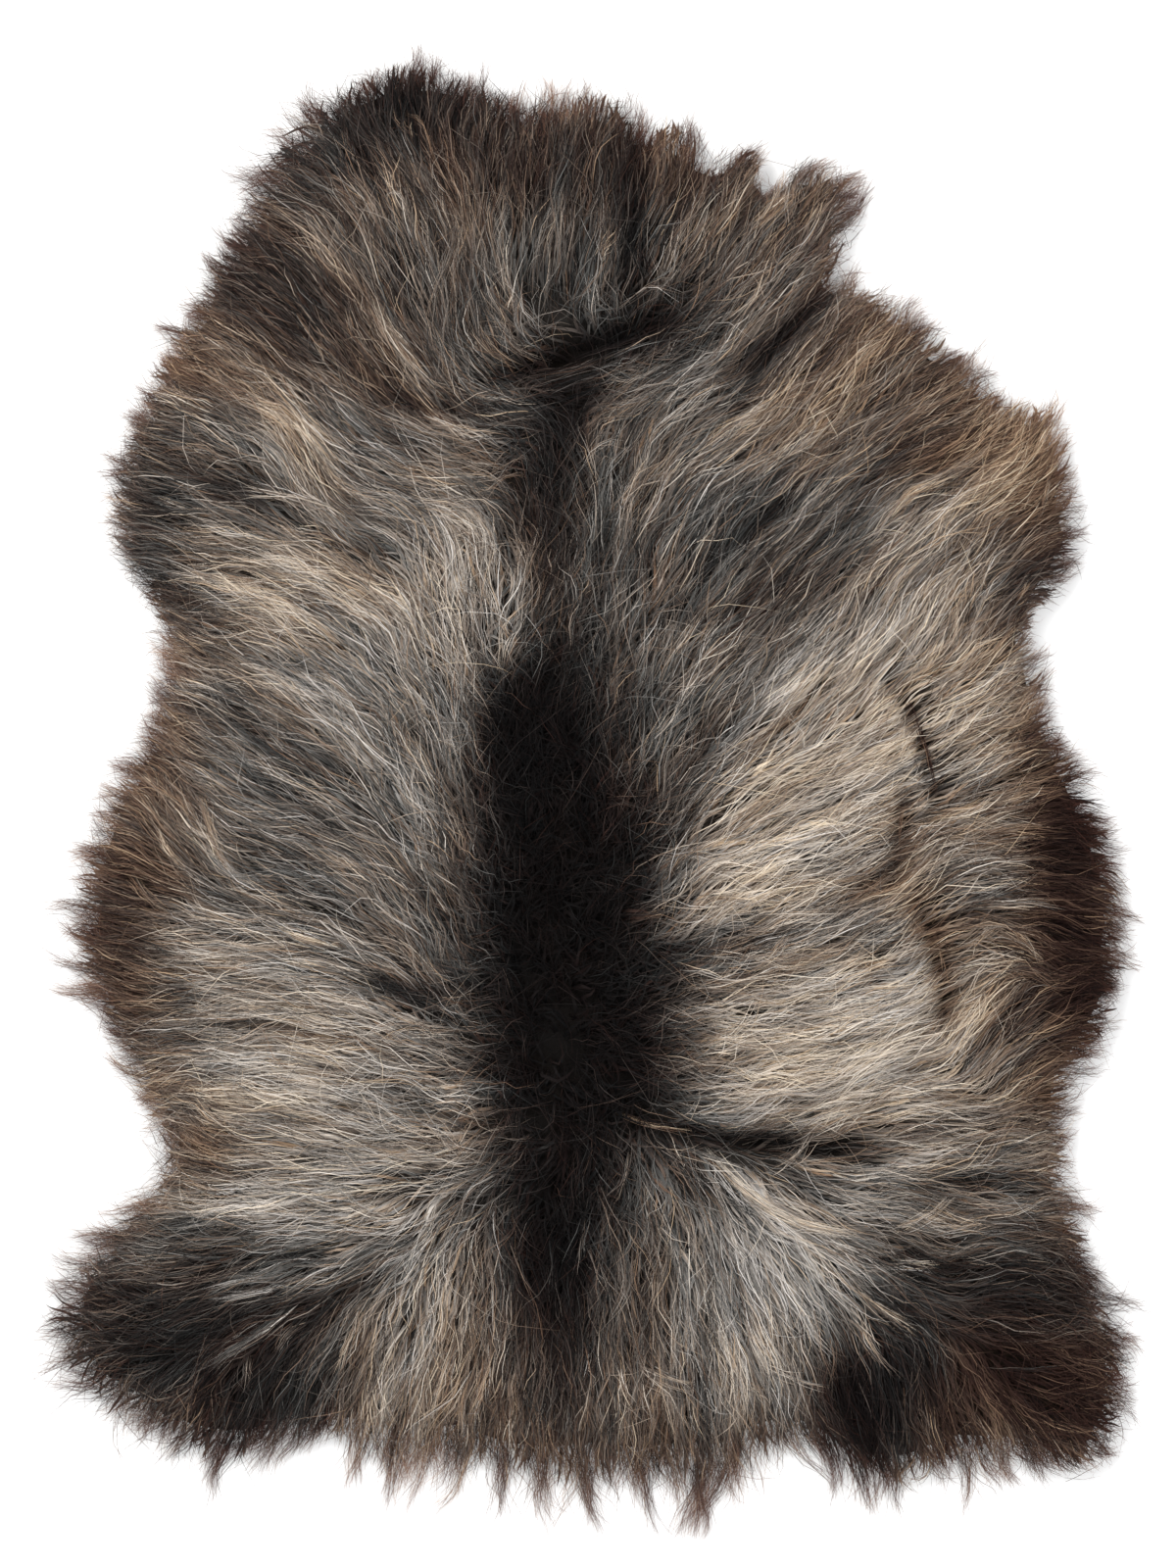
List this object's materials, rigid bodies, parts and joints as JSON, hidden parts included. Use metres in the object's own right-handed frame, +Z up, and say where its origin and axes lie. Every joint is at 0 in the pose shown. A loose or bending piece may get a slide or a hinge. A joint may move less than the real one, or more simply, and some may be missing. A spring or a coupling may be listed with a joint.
{
  "type": "icelandic sheepskin",
  "caption": "Long-haired sheepskin lying flat, wool side up: a thin tanned hide with its combed grey, beige and black fleece and pointed locks all round the rim.",
  "frame": {"origin": "middle of the part's box in plan, on the surface that the hide rests on", "axes": "+Y along the back from tail to neck, +X across to the skin's right side seen from above with the neck up, +Z up out of the wool"},
  "size_m": [0.7994, 1.0618, 0.0461],
  "materials": {
    "wool": "long combed wool, black along the spine and at the legs, grey-beige flanks with straw tips",
    "hide": "tanned hide, pale cream suede nap on the underside"
  },
  "bodies": {
    "root": {"sheepskin": "wool"}
  },
  "joints": []
}
